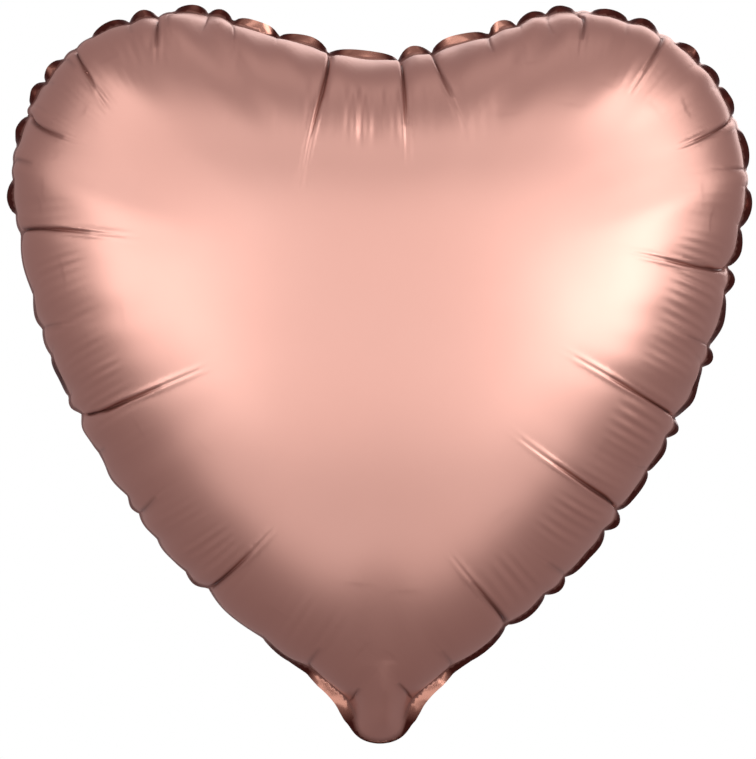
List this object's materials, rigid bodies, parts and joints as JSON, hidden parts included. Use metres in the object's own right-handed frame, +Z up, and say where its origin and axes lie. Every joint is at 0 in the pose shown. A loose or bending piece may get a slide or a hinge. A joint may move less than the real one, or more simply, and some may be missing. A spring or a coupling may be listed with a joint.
{
  "type": "heart-shaped foil balloon",
  "caption": "Blown-up heart-shaped foil balloon in satin rose copper, with a puckered welded rim, a short filling tail and a self-sealing film valve inside the neck.",
  "frame": {"origin": "the middle of the neck, where the ribbon is tied, between the gas space and the tail", "axes": "+Z up the heart from its point to the cleft, -Y towards the viewer out of the front panel, +X across the lobes"},
  "size_m": [0.3732, 0.1848, 0.3686],
  "materials": {
    "front_foil": "satin rose copper foil",
    "back_foil": "satin rose copper foil",
    "valve_film": "limp translucent polyethylene film"
  },
  "bodies": {
    "envelope": {"front_panel": "front_foil", "back_panel": "back_foil"},
    "tail": {"front_tail": "front_foil", "back_tail": "back_foil"},
    "front_valve": {"valve_front_film": "valve_film"},
    "back_valve": {"valve_back_film": "valve_film"}
  },
  "joints": [
    {"name": "tail_bend", "type": "hinge", "parent": "envelope", "child": "tail", "pos_m": [0, 0, 0], "axis": [1, 0, 0], "range_deg": [-75, 75], "stiffness_Nm_per_rad": 0.0002},
    {"name": "valve_front_open", "type": "hinge", "parent": "envelope", "child": "front_valve", "pos_m": [0, -0.00025, 0.0034], "axis": [1, 0, 0], "range_deg": [0, 4], "stiffness_Nm_per_rad": 0.0002},
    {"name": "valve_back_open", "type": "hinge", "parent": "envelope", "child": "back_valve", "pos_m": [0, 0.00025, 0.0034], "axis": [-1, 0, 0], "range_deg": [0, 4], "stiffness_Nm_per_rad": 0.0002}
  ],
  "couplings": [
    {"joint": "valve_back_open", "follows": "valve_front_open", "ratio": 1}
  ]
}
